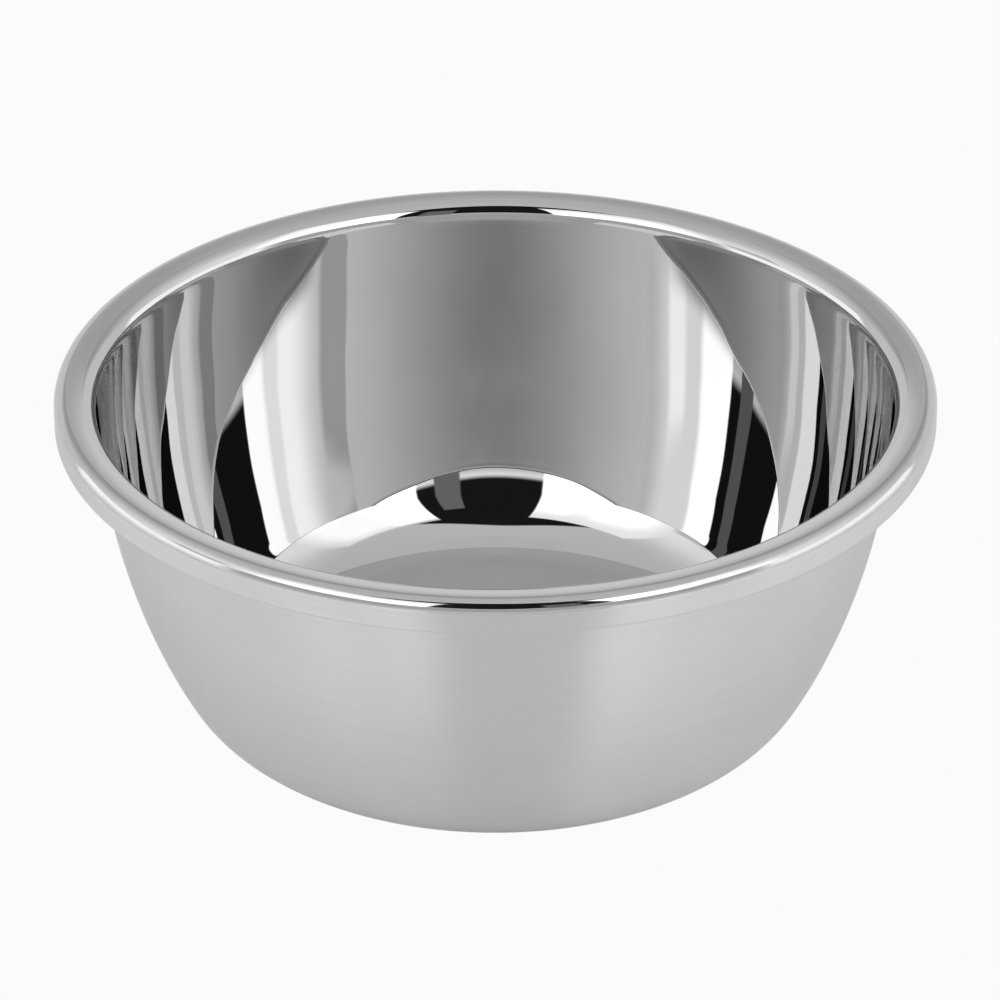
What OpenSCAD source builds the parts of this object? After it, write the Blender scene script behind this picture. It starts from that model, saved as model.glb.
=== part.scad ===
// Mixing bowl pressed from one sheet of stainless steel.
// The sheet runs from the flat floor through a knuckle and a curved side that
// grows steeper up to the mouth. There it turns outwards into a rim band that
// slopes slightly inwards, then turns down into a short skirt, whose lower
// edge is folded back inside.
// Origin: centre of the flat base, on the surface it rests on. +Z is up.

/* [Bowl] */
// Diameter over the skirt of the rim
rim_d = 260; // [220:1:300]
// Height from the resting face to the top of the rim
bowl_h = 106.75; // [106:0.25:130]
// Thickness of the sheet
sheet_t = 0.8; // [0.6:0.1:1.0]

/* [Side] */
// Lean of the wall away from the vertical at the mouth, in degrees
wall_lean = 3.7; // [3.6:0.1:5]
// Inside radius of the upper side
upper_r = 254; // [220:1:258]
// Slope of the sheet where the upper side meets the middle side, in degrees
upper_slope = 79.1; // [78.8:0.1:80]
// Inside radius of the middle side
side_r = 203; // [190:1:208]
// Slope of the sheet where the middle side meets the lower side, in degrees
side_slope = 66.7; // [66.2:0.1:69]
// Inside radius of the lower side
turn_r = 130; // [120:0.5:136]
// Slope of the sheet where the lower side meets the knuckle, in degrees
turn_slope = 61.5; // [61:0.1:64]
// Inside radius of the knuckle between the lower side and the floor
knuckle_r = 26; // [22:0.1:27.5]

/* [Rim] */
// Radius of the easing between the wall and the lip
easing_r = 20; // [15:1:25]
// Angle that the easing turns through, in degrees
easing_turn = 3; // [1:0.5:4]
// Radius of the lip where the wall turns outwards
lip_r = 5; // [4:0.1:5.5]
// Radius of the slightly crowned rim band
band_r = 22; // [16:0.5:26]
// Slope of the rim band at the lip, in degrees
band_slope_in = 14; // [11:0.5:15]
// Slope of the rim band at the shoulder, in degrees
band_slope_out = 1; // [0:0.5:3]
// Radius of the shoulder between the rim band and the skirt
shoulder_r = 3.5; // [2.5:0.1:4]
// Height of the skirt, from its lower edge to the top of the rim
skirt_h = 10; // [8:0.5:14]
// Height of the fold inside the lower edge of the skirt
hem_h = 3; // [2:0.5:5]

/* [Hidden] */
$fn = 180;

// Greatest distance between a curve of the section and its straight pieces
curve_error = 0.03;

wall_slope = 90 - wall_lean;
lip_slope = wall_slope - easing_turn;
rim_r = rim_d / 2;

// Direction at an angle from the horizontal, and the direction square to it
// that points to the inside of the bowl and over the top of the rim.
function along(angle) = [cos(angle), sin(angle)];
function square_to(angle) = along(angle + 90);

// Height that a curve of radius r gains between two slopes of the sheet
function rise(r, low_slope, high_slope) = r * (cos(low_slope) - cos(high_slope));

// Centres of the rim's bends, from the skirt inwards. Their radii belong to
// the top face of the sheet, and each pair of bends shares a tangent.
shoulder_c = [rim_r - shoulder_r, bowl_h - shoulder_r];
band_c = shoulder_c - (band_r - shoulder_r) * square_to(band_slope_out);
lip_c = band_c + (band_r - lip_r) * square_to(band_slope_in);
easing_c = lip_c + (lip_r - easing_r) * square_to(lip_slope);
wall_top = easing_c + easing_r * square_to(wall_slope);

// Length of the straight wall that the curves below it leave at the mouth
curved_h = rise(knuckle_r, 0, turn_slope)
    + rise(turn_r, turn_slope, side_slope)
    + rise(side_r, side_slope, upper_slope)
    + rise(upper_r, upper_slope, wall_slope);
wall_len = (wall_top[1] - sheet_t - curved_h) / sin(wall_slope);

// Centres of the side's curves. Their radii belong to the inside face.
upper_c = wall_top - wall_len * along(wall_slope) + upper_r * square_to(wall_slope);
side_c = upper_c + (side_r - upper_r) * square_to(upper_slope);
turn_c = side_c + (turn_r - side_r) * square_to(side_slope);
knuckle_c = turn_c + (knuckle_r - turn_r) * square_to(turn_slope);

// Centre of the fold at the lower edge of the skirt
hem_c = [rim_r - sheet_t, bowl_h - skirt_h + sheet_t];

// Points along an arc round c. The first point is left out where the arc
// carries on from another one, whose last point it is.
function arc(c, r, from, to, carries_on = false) =
    let (steps = ceil(abs(to - from) / (2 * acos(1 - curve_error / r))))
    [for (i = [carries_on ? 1 : 0 : steps]) c + r * along(from + (to - from) * i / steps)];

// One face of the sheet, from the centre of the floor to the top of the skirt.
// Depth 0 is the inside and top face, and depth sheet_t is the other one.
function sheet_face(depth) = concat(
    [[0, sheet_t - depth]],
    arc(knuckle_c, knuckle_r + depth, -90, turn_slope - 90),
    arc(turn_c, turn_r + depth, turn_slope - 90, side_slope - 90, carries_on = true),
    arc(side_c, side_r + depth, side_slope - 90, upper_slope - 90, carries_on = true),
    arc(upper_c, upper_r + depth, upper_slope - 90, wall_slope - 90, carries_on = true),
    arc(easing_c, easing_r - depth, wall_slope + 90, lip_slope + 90),
    arc(lip_c, lip_r - depth, lip_slope + 90, band_slope_in + 90, carries_on = true),
    arc(band_c, band_r - depth, band_slope_in + 90, band_slope_out + 90, carries_on = true),
    arc(shoulder_c, shoulder_r - depth, band_slope_out + 90, 0, carries_on = true)
);

// The fold at the lower edge of the skirt, from the outside to the free end of
// the sheet, which lies flat against the inside of the skirt.
hem_face = concat(
    arc(hem_c, sheet_t, 0, -180),
    [hem_c + [-sheet_t, hem_h - sheet_t], hem_c + [0, hem_h - sheet_t]]
);

function reversed(points) = [for (i = [len(points) - 1 : -1 : 0]) points[i]];

module bowl() {
    color([0.79, 0.79, 0.79])
    rotate_extrude()
        polygon(concat(sheet_face(0), hem_face, reversed(sheet_face(sheet_t))));
}

bowl();
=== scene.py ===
"""Looks of the pressed steel mixing bowl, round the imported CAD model, in metres.

The visible bowl is one finely divided turned mesh with the same section as the
CAD bowl, so that its mirror finish reflects without facets. Its inside and lip
are mirror polished, its shoulder is polished, and its rim band and outside are
brushed satin. The studio is the world's light, and the floor is plain.
"""

import math

import bpy
from mathutils import Matrix, Vector


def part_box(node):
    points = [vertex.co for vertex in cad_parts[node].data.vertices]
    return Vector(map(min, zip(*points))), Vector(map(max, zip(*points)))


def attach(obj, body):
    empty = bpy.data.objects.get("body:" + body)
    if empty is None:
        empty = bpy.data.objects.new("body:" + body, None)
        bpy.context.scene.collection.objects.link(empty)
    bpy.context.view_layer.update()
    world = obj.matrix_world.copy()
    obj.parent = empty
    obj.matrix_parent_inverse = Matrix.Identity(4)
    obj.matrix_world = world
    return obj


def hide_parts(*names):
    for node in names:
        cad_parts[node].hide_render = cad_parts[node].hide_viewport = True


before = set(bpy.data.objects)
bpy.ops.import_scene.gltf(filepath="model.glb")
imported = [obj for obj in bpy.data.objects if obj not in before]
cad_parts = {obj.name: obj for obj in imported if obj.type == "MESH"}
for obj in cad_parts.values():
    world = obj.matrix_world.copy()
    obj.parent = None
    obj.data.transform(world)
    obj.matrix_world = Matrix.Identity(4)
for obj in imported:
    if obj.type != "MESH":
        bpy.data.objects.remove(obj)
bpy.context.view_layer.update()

MM = 0.001

# ---------------------------------------------------------------- the section
bowl_low, bowl_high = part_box("bowl")
RIM_R = bowl_high.x
BOWL_H = bowl_high.z
SHEET_T = 0.8 * MM

# Slopes of the sheet from the horizontal, in degrees, and the inside radii
# between them, from the floor up to the mouth
WALL_SLOPE = 90 - 3.7
UPPER_R, UPPER_SLOPE = 254 * MM, 79.1
SIDE_R, SIDE_SLOPE = 203 * MM, 66.7
TURN_R, TURN_SLOPE = 130 * MM, 61.5
KNUCKLE_R = 26 * MM

# The rim, from the wall to the skirt
EASING_R, EASING_TURN = 20 * MM, 3
LIP_R = 5 * MM
BAND_R, BAND_SLOPE_IN, BAND_SLOPE_OUT = 22 * MM, 14, 1
SHOULDER_R = 3.5 * MM
SKIRT_H = 10 * MM
HEM_H = 3 * MM
LIP_SLOPE = WALL_SLOPE - EASING_TURN

# Rounding of the fold's free edge and of the corner that it leaves on the skirt
EDGE_R = 0.2 * MM

# How finely the circle and the section are divided: lengths along straights and
# wide bends, and turns in degrees along the bends
SEGMENTS = 360
FLAT_STEP = 6 * MM
BEND_STEP = 4 * MM
BEND_TURN = 2.5
TIGHT_TURN = 6
EASING_STEP = 1

# Stations closer together than this are one point
SAME_POINT = 1e-7

# The bowl's finishes, in the order of its material slots
MIRROR, BAND, POLISHED, SATIN = range(4)


def along(angle):
    """Direction at an angle from the horizontal, in degrees."""
    return Vector((math.cos(math.radians(angle)), math.sin(math.radians(angle))))


def square_to(angle):
    return along(angle + 90)


def rise(radius, low_slope, high_slope):
    """Height that a curve gains between two slopes of the sheet."""
    return radius * (math.cos(math.radians(low_slope)) - math.cos(math.radians(high_slope)))


def bend(centre, radius, start, end, facing, finish, step=BEND_TURN):
    """Stations along an arc, each a point, its normal and its strip's finish."""
    turn = abs(end - start)
    count = max(math.ceil(turn / step), math.ceil(math.radians(turn) * radius / BEND_STEP))
    angles = [start + (end - start) * i / count for i in range(count + 1)]
    return [(centre + radius * along(a), facing * along(a), finish) for a in angles]


def straight(start, end, normal, finish):
    """Stations along a straight of the section."""
    count = max(1, math.ceil((end - start).length / FLAT_STEP))
    return [(start.lerp(end, i / count), normal, finish) for i in range(count + 1)]


# Centres of the bends, as in the CAD section
shoulder_c = Vector((RIM_R - SHOULDER_R, BOWL_H - SHOULDER_R))
band_c = shoulder_c - (BAND_R - SHOULDER_R) * square_to(BAND_SLOPE_OUT)
lip_c = band_c + (BAND_R - LIP_R) * square_to(BAND_SLOPE_IN)
easing_c = lip_c + (LIP_R - EASING_R) * square_to(LIP_SLOPE)
wall_top = easing_c + EASING_R * square_to(WALL_SLOPE)
curved_h = (
    rise(KNUCKLE_R, 0, TURN_SLOPE)
    + rise(TURN_R, TURN_SLOPE, SIDE_SLOPE)
    + rise(SIDE_R, SIDE_SLOPE, UPPER_SLOPE)
    + rise(UPPER_R, UPPER_SLOPE, WALL_SLOPE)
)
wall_len = (wall_top.y - SHEET_T - curved_h) / math.sin(math.radians(WALL_SLOPE))
upper_c = wall_top - wall_len * along(WALL_SLOPE) + UPPER_R * square_to(WALL_SLOPE)
side_c = upper_c + (SIDE_R - UPPER_R) * square_to(UPPER_SLOPE)
turn_c = side_c + (TURN_R - SIDE_R) * square_to(SIDE_SLOPE)
knuckle_c = turn_c + (KNUCKLE_R - TURN_R) * square_to(TURN_SLOPE)
hem_c = Vector((RIM_R - SHEET_T, BOWL_H - SKIRT_H + SHEET_T))


def sheet_face(depth, inside, band, shoulder):
    """Stations of one face of the sheet, from the centre of the floor to the skirt."""
    facing = 1 if depth == 0 else -1
    centre = Vector((0, SHEET_T - depth))
    floor_edge = Vector((knuckle_c.x, SHEET_T - depth))
    return (
        straight(centre, floor_edge, Vector((0, facing)), inside)
        + bend(knuckle_c, KNUCKLE_R + depth, -90, TURN_SLOPE - 90, -facing, inside)
        + bend(turn_c, TURN_R + depth, TURN_SLOPE - 90, SIDE_SLOPE - 90, -facing, inside)
        + bend(side_c, SIDE_R + depth, SIDE_SLOPE - 90, UPPER_SLOPE - 90, -facing, inside)
        + bend(upper_c, UPPER_R + depth, UPPER_SLOPE - 90, WALL_SLOPE - 90, -facing, inside)
        + bend(easing_c, EASING_R - depth, WALL_SLOPE + 90, LIP_SLOPE + 90, facing, inside, EASING_STEP)
        + bend(lip_c, LIP_R - depth, LIP_SLOPE + 90, BAND_SLOPE_IN + 90, facing, inside, TIGHT_TURN)
        + bend(band_c, BAND_R - depth, BAND_SLOPE_IN + 90, BAND_SLOPE_OUT + 90, facing, band)
        + bend(shoulder_c, SHOULDER_R - depth, BAND_SLOPE_OUT + 90, 0, facing, shoulder, TIGHT_TURN)
    )


def hem_face():
    """Stations of the skirt and the fold inside it, down the outside and up the inside."""
    top = hem_c.y - SHEET_T + HEM_H
    left = hem_c.x - SHEET_T
    corner_c = Vector((left + EDGE_R, top - EDGE_R))
    root_c = Vector((hem_c.x - EDGE_R, top + EDGE_R))
    return (
        straight(Vector((RIM_R, shoulder_c.y)), Vector((RIM_R, hem_c.y)), Vector((1, 0)), SATIN)
        + bend(hem_c, SHEET_T, 0, -180, 1, SATIN, TIGHT_TURN * 2)
        + straight(Vector((left, hem_c.y)), Vector((left, corner_c.y)), Vector((-1, 0)), SATIN)
        + bend(corner_c, EDGE_R, 180, 90, 1, SATIN, TIGHT_TURN * 4)
        + bend(root_c, EDGE_R, -90, 0, -1, SATIN, TIGHT_TURN * 4)
        + straight(Vector((hem_c.x, root_c.y)), Vector((hem_c.x, shoulder_c.y)), Vector((-1, 0)), SATIN)
    )


def section():
    """Stations round the whole sheet, without the points that two stretches share."""
    stations = (
        sheet_face(0, MIRROR, BAND, POLISHED)
        + hem_face()
        + sheet_face(SHEET_T, SATIN, SATIN, SATIN)[::-1]
    )
    kept = stations[:1]
    for station in stations[1:]:
        if (station[0] - kept[-1][0]).length > SAME_POINT:
            kept.append(station)
    return kept


def turned_mesh(name, stations):
    """Turns the section round Z. Its first and last stations lie on the axis."""
    rings = stations[1:-1]
    turns = [2 * math.pi * j / SEGMENTS for j in range(SEGMENTS)]
    compass = [(math.cos(t), math.sin(t)) for t in turns]
    points = [(point.x * c, point.x * s, point.y) for point, _, _ in rings for c, s in compass]
    normals = [(normal.x * c, normal.x * s, normal.y) for _, normal, _ in rings for c, s in compass]
    first, last = len(points), len(points) + 1
    points += [(0, 0, stations[0][0].y), (0, 0, stations[-1][0].y)]
    normals += [(0, 0, 1), (0, 0, -1)]
    faces = []
    finishes = []
    for j in range(SEGMENTS):
        k = (j + 1) % SEGMENTS
        faces.append((first, j, k))
        finishes.append(rings[0][2])
        for i in range(1, len(rings)):
            low, high = (i - 1) * SEGMENTS, i * SEGMENTS
            faces.append((low + j, high + j, high + k, low + k))
            finishes.append(rings[i][2])
        end = (len(rings) - 1) * SEGMENTS
        faces.append((end + j, last, end + k))
        finishes.append(stations[-1][2])
    mesh = bpy.data.meshes.new(name)
    mesh.from_pydata(points, [], faces)
    mesh.polygons.foreach_set("material_index", finishes)
    mesh.polygons.foreach_set("use_smooth", [True] * len(faces))
    mesh.update()
    mesh.normals_split_custom_set_from_vertices(normals)
    piece = bpy.data.objects.new(name, mesh)
    bpy.context.scene.collection.objects.link(piece)
    return piece


# ------------------------------------------------------------- node building
class Graph:
    """Adds nodes to one node tree. A value is a number or another node's output."""

    def __init__(self, tree):
        self.tree = tree

    def add(self, kind, values=(), output=0, **settings):
        made = self.tree.nodes.new("ShaderNode" + kind)
        for key, value in settings.items():
            setattr(made, key, value)
        pairs = values.items() if isinstance(values, dict) else enumerate(values)
        for key, value in pairs:
            if isinstance(value, bpy.types.NodeSocket):
                self.tree.links.new(value, made.inputs[key])
            else:
                made.inputs[key].default_value = value
        return made.outputs[output]

    def math(self, operation, *values):
        return self.add("Math", values, operation=operation)

    def step(self, value, low, high, start=0.0, end=1.0):
        """Goes smoothly from start to end while value goes from low to high."""
        names = ("Value", "From Min", "From Max", "To Min", "To Max")
        values = dict(zip(names, (value, low, high, start, end)))
        return self.add("MapRange", values, interpolation_type="SMOOTHSTEP")

    def under(self, value, low, high):
        """1 below low, and 0 above high."""
        return self.step(value, low, high, 1.0, 0.0)

    def mix(self, share, a, b):
        """a where share is 0, and b where it is 1."""
        return self.add("Mix", {"Factor": share, "A": a, "B": b}, data_type="FLOAT")

    def band(self, value, low, high, soft_low, soft_high):
        """1 between low and high, with soft edges that wide."""
        inside = self.step(value, low - soft_low / 2, low + soft_low / 2)
        outside = self.under(value, high - soft_high / 2, high + soft_high / 2)
        return self.both(inside, outside)

    def both(self, *shares):
        """1 only where all the shares are 1."""
        made = shares[0]
        for share in shares[1:]:
            made = self.math("MULTIPLY", made, share)
        return made


# ------------------------------------------------------------------ materials
# Share of the light that each finish reflects
STEEL = 0.65
SATIN_TONE = 0.74

# Most of a noise's values lie in the first range. The other two lie higher, so
# that only the stronger marks and wear roughen the finish.
NOISE_RANGE = (0.3, 0.7)
MARK_RANGE = (0.35, 0.75)
WEAR_RANGE = (0.4, 0.8)

# Roughness between and in the marks of the mirror, and the wear of the polish
MIRROR_ROUGHNESS = (0.0, 0.02)
POLISH_ROUGHNESS = (0.05, 0.12)

# Least and greatest shares of a tone or roughness that noise varies it between
SMUDGE_SPREAD = (0.985, 1.01)
WEAR_SPREAD = (0.98, 1.02)
SATIN_SPREAD = (0.965, 1.03)
BRUSHING_SPREAD = (0.93, 1.07)

WAVE_HEIGHT = 0.16 * MM
BRUSHING_HEIGHT = 0.002 * MM
WEAR_HEIGHT = 0.0006 * MM

# How fine the waves from pressing, the smudges and the clouds in the satin are
WAVE_SCALE, SMUDGE_SCALE, CLOUD_SCALE = 26, 40, 18

# Share of the broad lines in the brushing, and of the clouds in its shade
BROAD_SHARE, CLOUD_SHARE = 0.4, 0.3

# A quarter turn, which lays the brushing along the lathe lines
BRUSHING_TURN = 0.25

# Least radius that the turned noise is divided by
NEAR_AXIS = 1e-5


def new_material(name):
    material = bpy.data.materials.new(name)
    material.use_nodes = True
    graph = Graph(material.node_tree)
    shader = material.node_tree.nodes["Principled BSDF"]
    shader.inputs["Metallic"].default_value = 1.0
    return material, graph, shader


def turned_vector(graph, around, across):
    """Noise place that runs round the bowl slowly and across its lathe lines fast."""
    place = graph.add("TexCoord", output="Object")
    x, y, z = (graph.add("SeparateXYZ", [place], output=axis) for axis in "XYZ")
    squares = [graph.math("MULTIPLY", axis, axis) for axis in (x, y)]
    radius = graph.math("SQRT", graph.math("ADD", *squares))
    safe = graph.math("MAXIMUM", radius, NEAR_AXIS)
    turned = [graph.math("MULTIPLY", graph.math("DIVIDE", axis, safe), around) for axis in (x, y)]
    lines = graph.math("MULTIPLY", graph.math("ADD", radius, z), across)
    return graph.add("CombineXYZ", [*turned, lines])


def noise(graph, vector, scale=1.0, detail=2.0):
    values = {"Vector": vector, "Scale": scale, "Detail": detail}
    return graph.add("TexNoise", values)


def varied(graph, pattern, value, spread):
    """The value, which the pattern varies between two shares of it."""
    low, high = spread
    return graph.step(pattern, *NOISE_RANGE, value * low, value * high)


def grey(graph, value):
    return graph.add("CombineColor", [value, value, value])


def bumped(graph, height, distance):
    return graph.add("Bump", {"Strength": 1.0, "Distance": distance, "Height": height})


def link(graph, shader, **values):
    for name, value in values.items():
        graph.tree.links.new(value, shader.inputs[name.replace("_", " ")])


def mirror_steel():
    """Mirror polish with slow waves from pressing and faint turned polishing marks."""
    material, graph, shader = new_material("steel_mirror")
    place = graph.add("TexCoord", output="Object")
    waves = noise(graph, place, WAVE_SCALE, detail=1.0)
    marks = noise(graph, turned_vector(graph, around=6, across=2600), detail=3.0)
    smudges = noise(graph, place, SMUDGE_SCALE, detail=4.0)
    link(
        graph,
        shader,
        Base_Color=grey(graph, varied(graph, smudges, STEEL, SMUDGE_SPREAD)),
        Roughness=graph.step(marks, *MARK_RANGE, *MIRROR_ROUGHNESS),
        Normal=bumped(graph, waves, WAVE_HEIGHT),
    )
    return material


def satin_steel(name, roughness, anisotropy):
    """Satin brushed round the bowl, which blurs what it reflects across the brushing."""
    material, graph, shader = new_material(name)
    shader.inputs["Anisotropic"].default_value = anisotropy
    shader.inputs["Anisotropic Rotation"].default_value = BRUSHING_TURN
    fine = noise(graph, turned_vector(graph, around=9, across=5200), detail=3.0)
    broad = noise(graph, turned_vector(graph, around=2, across=420))
    cloud = noise(graph, graph.add("TexCoord", output="Object"), CLOUD_SCALE)
    lines = graph.mix(BROAD_SHARE, fine, broad)
    shade = graph.mix(CLOUD_SHARE, lines, cloud)
    link(
        graph,
        shader,
        Base_Color=grey(graph, varied(graph, shade, SATIN_TONE, SATIN_SPREAD)),
        Roughness=varied(graph, lines, roughness, BRUSHING_SPREAD),
        Normal=bumped(graph, fine, BRUSHING_HEIGHT),
        Tangent=graph.add("Tangent", direction_type="RADIAL", axis="Z"),
    )
    return material


def polished_steel():
    """The shoulder's edge polish, a little worn."""
    material, graph, shader = new_material("steel_polished_edge")
    wear = noise(graph, turned_vector(graph, around=30, across=1500), detail=4.0)
    link(
        graph,
        shader,
        Base_Color=grey(graph, varied(graph, wear, STEEL, WEAR_SPREAD)),
        Roughness=graph.step(wear, *WEAR_RANGE, *POLISH_ROUGHNESS),
        Normal=bumped(graph, wear, WEAR_HEIGHT),
    )
    return material


# -------------------------------------------------------------------- studio
# Directions are in degrees: azimuth 0 is in front and + is to the right, and
# away is the angle from the front to either side. SIDES and HEIGHTS are the
# azimuths and elevations of an area's edges, and SOFT is how wide each of the two
# edges fades. The other pairs of angles are where an edge starts and stops fading.
# LIGHT is a brightness, where 1 is the white that the picture can just show. A
# pair of brightnesses goes with the pair of angles before it.
WHITE = 0.963

# Light is mirrored from wall to wall this often near the ends of the bowl
INNER_REFLECTIONS = 16

# The room and its ceiling
ROOM_AWAY, ROOM_LIGHT = (75, 180), (1.08, 0.40)
CEILING_AWAY, CEILING_LIGHT = (0, 180), (0.69, 0.64)
CEILING_FOOT = (34, 64)
LOW_BACK_TOP, LOW_BACK_SIDE, LOW_BACK_LIGHT = (22, 29), (120, 140), 0.75
LOW_FRONT_SIDE, LOW_FRONT_LIGHT = (62, 72), 0.5

# The softboxes
BOX_FOOT = (20, 23)
LEFT_SIDES, LEFT_SOFT, LEFT_TOP = (-74, -17), (4, 1.2), (59, 60.5)
LEFT_OUTER, LEFT_OUTER_LIGHT = (-74, -50), (1.1, 2.0)
LEFT_STRIPE_SIDES, LEFT_STRIPE_SOFT, LEFT_STRIPE_LIGHT = (-43, -33), (3, 3), 1.65
LEFT_INNER, LEFT_INNER_LIGHT = (-34, -30), 2.3
LEFT_DIMS, LEFT_HIGH_LIGHT = (38, 57), 1.2
RIGHT_SIDES, RIGHT_SOFT, RIGHT_TOP = (29, 86), (1.2, 6), (57, 59)
RIGHT_MIDDLE, RIGHT_MIDDLE_LIGHT = (49, 53), (2.4, 1.5)
RIGHT_FOLD_SIDES, RIGHT_FOLD_SOFT, RIGHT_FOLD_TOP, RIGHT_FOLD_LIGHT = (62, 73), (4, 4), (28.5, 31), 1.95
RIGHT_OUTER, RIGHT_OUTER_LIGHT = (70, 86), 1.0
RIGHT_DIMS, RIGHT_HIGH_LIGHT = (50, 60), 1.1

# The duller patch beside the left softbox, and the strips low at both sides
BESIDE_SIDES, BESIDE_SIDES_SOFT = (-89, -72), (2, 5)
BESIDE_HEIGHTS, BESIDE_HEIGHTS_SOFT, BESIDE_LIGHT = (18, 30.5), (1, 2), 0.68
STRIP_SIDES, STRIP_SOFT, STRIP_TOP, STRIP_LIGHT = (70, 124), (4, 4), (17.5, 19), 1.35

# The dark gap between the softboxes, which spreads over them up to an arch. The
# arch is a parabola that falls by ARCH_DROP at ARCH_REACH from its middle.
GAP_SIDES, GAP_SOFT, GAP_FOOT = (-17, 29.5), (1.2, 1.2), (22.5, 24)
OVER_SIDES, OVER_SOFT, OVER_FOOT = (-56, 46), (4, 4), (59, 60.5)
ARCH_MIDDLE, ARCH_REACH = -5, 50
ARCH_TOP, ARCH_DROP, ARCH_FADE = 74, 15, 1.2
GAP_LIGHT = 0.012

# The grey flag that stands in the gap
FLAG_SIDES, FLAG_SIDES_SOFT = (13, 22.5), (1, 1)
FLAG_HEIGHTS, FLAG_HEIGHTS_SOFT, FLAG_LIGHT = (20, 47), (4, 2), 0.18


def room_light(graph, elevation, away):
    """The room, which darkens to the back, under an even ceiling."""
    room = graph.step(away, *ROOM_AWAY, *ROOM_LIGHT)
    ceiling = graph.step(away, *CEILING_AWAY, *CEILING_LIGHT)
    light = graph.mix(graph.step(elevation, *CEILING_FOOT), room, ceiling)
    low_back = graph.both(graph.under(elevation, *LOW_BACK_TOP), graph.step(away, *LOW_BACK_SIDE))
    light = graph.mix(low_back, light, LOW_BACK_LIGHT)
    low_front = graph.both(graph.under(elevation, *BOX_FOOT), graph.under(away, *LOW_FRONT_SIDE))
    return graph.mix(low_front, light, LOW_FRONT_LIGHT)


def box_area(graph, azimuth, elevation, sides, soft, top):
    """1 on a softbox, and 0 beside, under and over it."""
    return graph.both(
        graph.band(azimuth, *sides, *soft),
        graph.step(elevation, *BOX_FOOT),
        graph.under(elevation, *top),
    )


def add_left_box(graph, azimuth, elevation, light):
    """Left softbox, brightest at its inner side, with a dimmer stripe and top."""
    shine = graph.step(azimuth, *LEFT_OUTER, *LEFT_OUTER_LIGHT)
    stripe = graph.band(azimuth, *LEFT_STRIPE_SIDES, *LEFT_STRIPE_SOFT)
    shine = graph.mix(stripe, shine, LEFT_STRIPE_LIGHT)
    shine = graph.mix(graph.step(azimuth, *LEFT_INNER), shine, LEFT_INNER_LIGHT)
    shine = graph.mix(graph.step(elevation, *LEFT_DIMS), shine, LEFT_HIGH_LIGHT)
    area = box_area(graph, azimuth, elevation, LEFT_SIDES, LEFT_SOFT, LEFT_TOP)
    return graph.mix(area, light, shine)


def add_right_box(graph, azimuth, elevation, light):
    """Right softbox, brightest at its inner side, with a low fold and a dimmer top."""
    shine = graph.step(azimuth, *RIGHT_MIDDLE, *RIGHT_MIDDLE_LIGHT)
    fold = graph.both(
        graph.band(azimuth, *RIGHT_FOLD_SIDES, *RIGHT_FOLD_SOFT),
        graph.under(elevation, *RIGHT_FOLD_TOP),
    )
    shine = graph.mix(fold, shine, RIGHT_FOLD_LIGHT)
    shine = graph.mix(graph.step(azimuth, *RIGHT_OUTER), shine, RIGHT_OUTER_LIGHT)
    shine = graph.mix(graph.step(elevation, *RIGHT_DIMS), shine, RIGHT_HIGH_LIGHT)
    area = box_area(graph, azimuth, elevation, RIGHT_SIDES, RIGHT_SOFT, RIGHT_TOP)
    return graph.mix(area, light, shine)


def add_gap(graph, azimuth, elevation, light):
    """Dark gap between and over the softboxes, and the grey flag that stands in it."""
    off_middle = graph.math("DIVIDE", graph.math("SUBTRACT", azimuth, ARCH_MIDDLE), ARCH_REACH)
    fall = graph.math("MULTIPLY", graph.math("MULTIPLY", off_middle, off_middle), ARCH_DROP)
    over_arch = graph.math("SUBTRACT", elevation, graph.math("SUBTRACT", ARCH_TOP, fall))
    between = graph.both(graph.band(azimuth, *GAP_SIDES, *GAP_SOFT), graph.step(elevation, *GAP_FOOT))
    over = graph.both(graph.band(azimuth, *OVER_SIDES, *OVER_SOFT), graph.step(elevation, *OVER_FOOT))
    dark = graph.both(graph.math("MAXIMUM", between, over), graph.under(over_arch, -ARCH_FADE, ARCH_FADE))
    light = graph.mix(dark, light, GAP_LIGHT)
    flag = graph.both(
        graph.band(azimuth, *FLAG_SIDES, *FLAG_SIDES_SOFT),
        graph.band(elevation, *FLAG_HEIGHTS, *FLAG_HEIGHTS_SOFT),
    )
    return graph.mix(flag, light, FLAG_LIGHT)


def studio_light(graph):
    """Brightness of the studio by direction."""
    ray = graph.add("TexCoord", output="Generated")
    x, y, z = (graph.add("SeparateXYZ", [ray], output=axis) for axis in "XYZ")
    front = graph.math("MULTIPLY", y, -1.0)
    azimuth = graph.math("DEGREES", graph.math("ARCTAN2", x, front))
    elevation = graph.math("DEGREES", graph.math("ARCSINE", z))
    away = graph.math("ABSOLUTE", azimuth)

    light = room_light(graph, elevation, away)
    light = add_left_box(graph, azimuth, elevation, light)
    beside = graph.both(
        graph.band(azimuth, *BESIDE_SIDES, *BESIDE_SIDES_SOFT),
        graph.band(elevation, *BESIDE_HEIGHTS, *BESIDE_HEIGHTS_SOFT),
    )
    light = graph.mix(beside, light, BESIDE_LIGHT)
    light = add_right_box(graph, azimuth, elevation, light)
    strips = graph.both(graph.band(away, *STRIP_SIDES, *STRIP_SOFT), graph.under(elevation, *STRIP_TOP))
    light = graph.mix(strips, light, STRIP_LIGHT)
    return add_gap(graph, azimuth, elevation, light)


def build_world():
    """The studio lights the bowl, and the camera sees plain white behind it."""
    world = bpy.data.worlds.new("studio")
    bpy.context.scene.world = world
    world.use_nodes = True
    tree = world.node_tree
    graph = Graph(tree)
    background = tree.nodes["Background"]
    seen = graph.add("LightPath", output="Is Camera Ray")
    shown = graph.mix(seen, studio_light(graph), WHITE)
    tree.links.new(grey(graph, shown), background.inputs["Color"])


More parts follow.
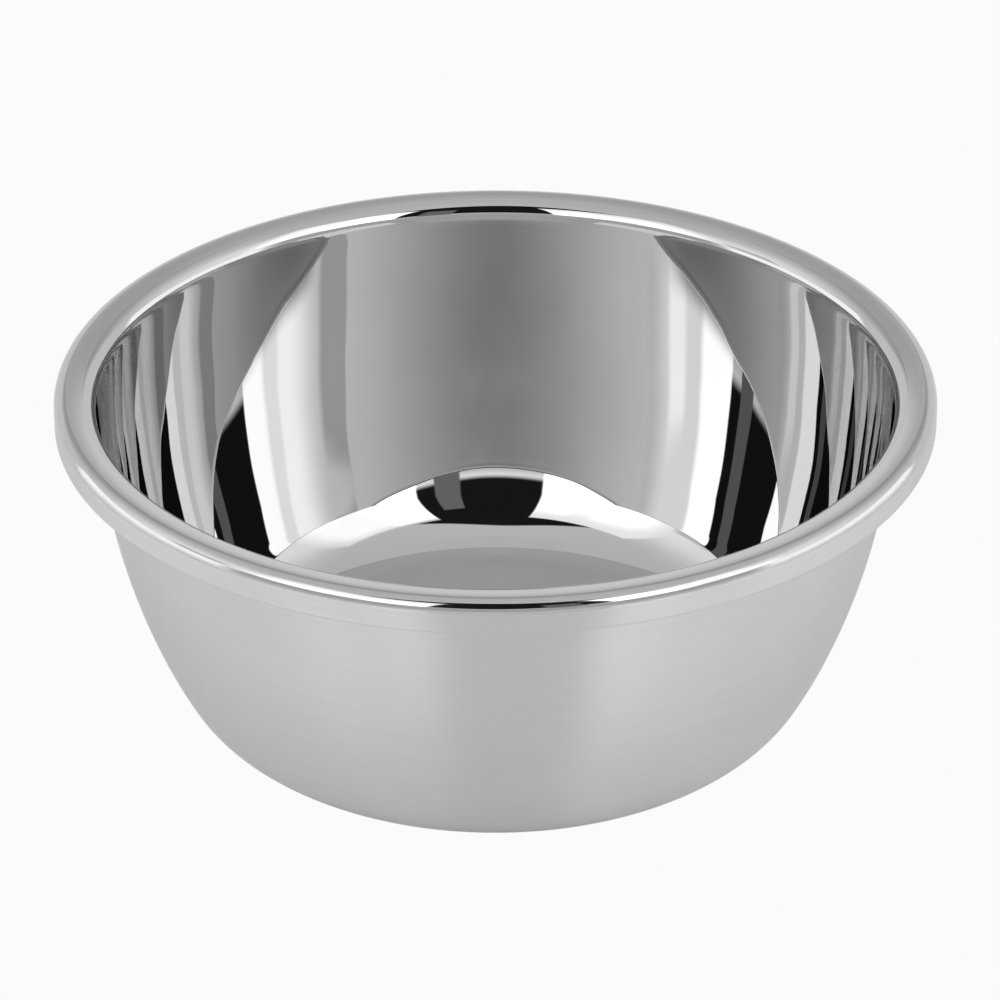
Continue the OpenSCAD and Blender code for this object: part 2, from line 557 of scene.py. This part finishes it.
FLOOR_R = 6.0
FLOOR_TONE = 0.95
FLOOR_ROUGHNESS = 0.12
FLOOR_IOR = 2.2

# The floor lies this far below the base, so that the two faces don't coincide
FLOOR_GAP = 0.1 * MM


def build_floor():
    """A plain pale floor, evenly white where the camera sees it and glossy to the bowl."""
    mesh = bpy.data.meshes.new("floor")
    corners = [(-FLOOR_R, -FLOOR_R), (FLOOR_R, -FLOOR_R), (FLOOR_R, FLOOR_R), (-FLOOR_R, FLOOR_R)]
    level = bowl_low.z - FLOOR_GAP
    mesh.from_pydata([(x, y, level) for x, y in corners], [], [(0, 1, 2, 3)])
    floor = bpy.data.objects.new("floor", mesh)
    bpy.context.scene.collection.objects.link(floor)
    material = bpy.data.materials.new("floor_white")
    material.use_nodes = True
    tree = material.node_tree
    graph = Graph(tree)
    tree.nodes.remove(tree.nodes["Principled BSDF"])
    seen = graph.add("LightPath", output="Is Camera Ray")
    plain = graph.add("Emission", {"Color": (WHITE, WHITE, WHITE, 1.0)})
    tone = (FLOOR_TONE, FLOOR_TONE, FLOOR_TONE, 1.0)
    gloss = {"Base Color": tone, "Roughness": FLOOR_ROUGHNESS, "IOR": FLOOR_IOR}
    lit = graph.add("BsdfPrincipled", gloss)
    surface = graph.add("MixShader", [seen, lit, plain])
    tree.links.new(surface, tree.nodes["Material Output"].inputs["Surface"])
    material.cycles.emission_sampling = "NONE"
    mesh.materials.append(material)


# -------------------------------------------------------------------- camera
# The lens is in millimetres on a 36 mm sensor, and angles are in degrees. The
# target is a share of the bowl's height up its axis, and a little to the right.
CAMERA_LENS = 176.2
CAMERA_DISTANCE = 1.463
CAMERA_ELEVATION = 29.47
CAMERA_ROLL = -0.07
CAMERA_SEES_TO = 50
TARGET_X = 1.3 * MM
TARGET_HEIGHT = 0.616


def build_camera():
    """The camera stands in front, on the -Y side, and looks down at the bowl's axis."""
    tilt = math.radians(CAMERA_ELEVATION)
    target = Vector((TARGET_X, 0, BOWL_H * TARGET_HEIGHT))
    back = Vector((0, -math.cos(tilt), math.sin(tilt)))
    camera = bpy.data.objects.new("camera", bpy.data.cameras.new("camera"))
    bpy.context.scene.collection.objects.link(camera)
    camera.data.lens = CAMERA_LENS
    camera.data.clip_end = CAMERA_SEES_TO
    level = Matrix.Rotation(math.pi / 2 - tilt, 3, "X")
    roll = Matrix.Rotation(math.radians(CAMERA_ROLL), 3, back)
    camera.matrix_world = Matrix.Translation(target + CAMERA_DISTANCE * back) @ (roll @ level).to_4x4()
    bpy.context.scene.camera = camera


bowl = turned_mesh("mixing_bowl", section())
for steel in (
    mirror_steel(),
    satin_steel("steel_satin_band", roughness=0.20, anisotropy=0.4),
    polished_steel(),
    satin_steel("steel_satin", roughness=0.34, anisotropy=0.75),
):
    bowl.data.materials.append(steel)
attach(bowl, "root")
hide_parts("bowl")

build_floor()
build_world()
build_camera()
bpy.context.scene.view_settings.view_transform = "Standard"
bpy.context.scene.cycles.glossy_bounces = INNER_REFLECTIONS
bpy.context.scene.cycles.max_bounces = INNER_REFLECTIONS
